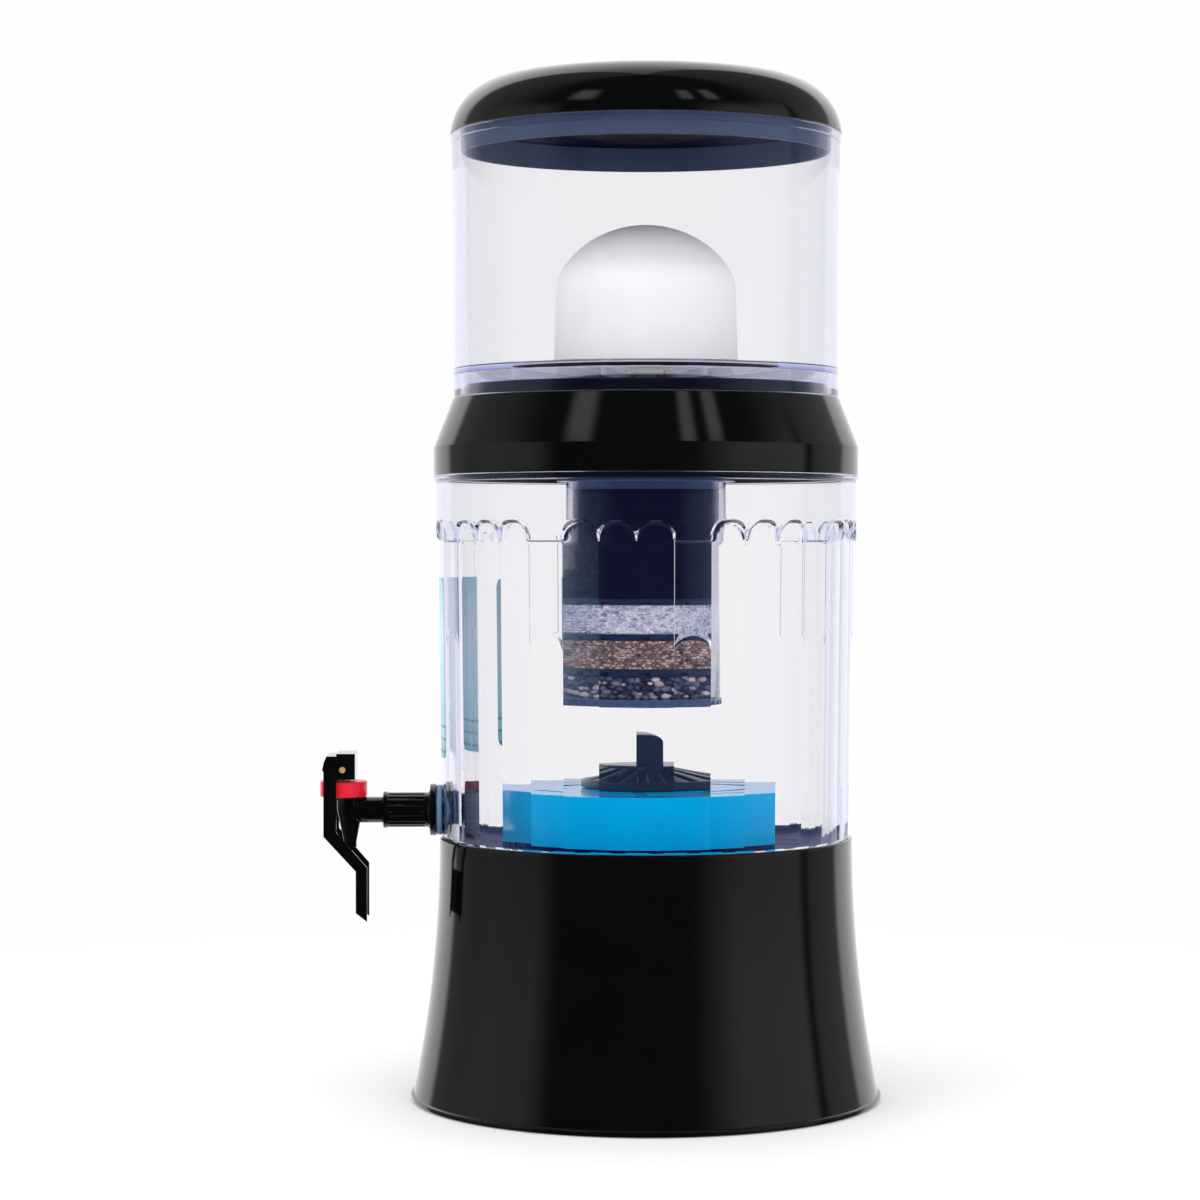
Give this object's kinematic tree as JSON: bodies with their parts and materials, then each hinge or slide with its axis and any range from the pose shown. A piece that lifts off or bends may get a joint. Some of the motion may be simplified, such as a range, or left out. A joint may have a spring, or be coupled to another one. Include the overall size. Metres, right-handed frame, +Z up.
{
  "type": "gravity water filter with tap",
  "caption": "Countertop gravity water filter: two clear tanks with a ceramic dome and a cartridge, on a flared black stand, with a push-lever tap.",
  "frame": {"origin": "centre of the stand's underside, on the table", "axes": "+Z up along the tanks' axis, the tap points to -Y, +X is to the right of a person who faces the tap"},
  "size_m": [0.2266, 0.2701, 0.4895],
  "materials": {
    "gloss_black": "polished",
    "clear_plastic": "clear, polished, faint violet-blue tint",
    "label_film": "pale cyan printed film",
    "white_ceramic": "fine matte",
    "white_plastic": "satin",
    "soft_seal": "satin silicone",
    "smoke_blue_plastic": "translucent slate blue",
    "clear_shell": "clear, polished",
    "navy_plastic": "satin gloss",
    "carbon": "granular",
    "white_mineral": "granular",
    "brown_ball": "small fired balls",
    "dark_stone": "small polished stones",
    "pale_stone": "small stones",
    "blue_plastic": "glossy",
    "pale_blue_clear": "clear, ribbed",
    "grey_seal": "satin translucent",
    "black_rubber": "satin",
    "red_plastic": "glossy",
    "steel": "drawn wire",
    "brass": "plain"
  },
  "bodies": {
    "stand": {"stand": "gloss_black"},
    "lower_tank": {"lower_tank": "clear_plastic", "level_label": "label_film", "tap_shank": "gloss_black", "tap_outer_gasket": "grey_seal", "tap_inner_gasket": "grey_seal", "tap_lock_nut": "navy_plastic", "tap_o_ring": "black_rubber", "tap_body": "gloss_black", "tap_bonnet": "red_plastic", "return_spring": "steel"},
    "tap_stem": {"valve_stem": "white_plastic", "valve_plug": "soft_seal"},
    "tap_lever": {"tap_lever": "gloss_black", "lever_pin": "brass"},
    "mineral_tray": {"tray_dish": "pale_blue_clear", "tray_cap": "blue_plastic", "tray_stones": "pale_stone"},
    "tray_knob": {"tray_knob": "navy_plastic"},
    "collar": {"collar": "gloss_black"},
    "cartridge": {"cartridge_cap": "smoke_blue_plastic", "cartridge_gasket": "soft_seal", "cartridge_shell": "clear_shell", "cartridge_foot": "blue_plastic", "separator_discs": "navy_plastic", "carbon_bed": "carbon", "white_minerals": "white_mineral", "brown_balls": "brown_ball", "dark_stones": "dark_stone"},
    "upper_tank": {"upper_tank": "clear_plastic", "dome_shell": "white_ceramic", "dome_base": "white_plastic", "dome_gasket": "soft_seal", "stem_washer": "soft_seal"},
    "wing_nut": {"wing_nut": "white_plastic"},
    "lid": {"lid": "gloss_black"}
  },
  "joints": [
    {"name": "tank_lift", "type": "slide", "parent": "stand", "child": "lower_tank", "axis": [0, 0, 1], "range_m": [0, 0.05]},
    {"name": "tray_lift", "type": "slide", "parent": "lower_tank", "child": "mineral_tray", "axis": [0, 0, 1], "range_m": [0, 0.012]},
    {"name": "knob_turn", "type": "hinge", "parent": "mineral_tray", "child": "tray_knob", "pos_m": [0, 0, 0.149], "axis": [0, 0, 1], "range_deg": [0, 90]},
    {"name": "collar_lift", "type": "slide", "parent": "lower_tank", "child": "collar", "axis": [0, 0, 1], "range_m": [0, 0.13]},
    {"name": "cartridge_turn", "type": "hinge", "parent": "collar", "child": "cartridge", "pos_m": [0, 0, 0.299], "axis": [0, 0, 1], "range_deg": [0, 180]},
    {"name": "upper_lift", "type": "slide", "parent": "collar", "child": "upper_tank", "axis": [0, 0, 1], "range_m": [0, 0.06]},
    {"name": "nut_turn", "type": "hinge", "parent": "upper_tank", "child": "wing_nut", "pos_m": [0, 0, 0.34], "axis": [0, 0, 1], "continuous": true},
    {"name": "lid_lift", "type": "slide", "parent": "upper_tank", "child": "lid", "axis": [0, 0, 1], "range_m": [0, 0.05]},
    {"name": "stem_lift", "type": "slide", "parent": "lower_tank", "child": "tap_stem", "axis": [0, 0, 1], "range_m": [0, 0.0022], "deforming": ["return_spring"]},
    {"name": "lever_tilt", "type": "hinge", "parent": "tap_stem", "child": "tap_lever", "pos_m": [0, -0.14542, 0.1583], "axis": [1, 0, 0], "range_deg": [0, 15], "stiffness_Nm_per_rad": 0.6, "springref_deg": -5.73}
  ],
  "couplings": [
    {"joint": "stem_lift", "follows": "lever_tilt", "m_per_rad": 0.0079}
  ]
}
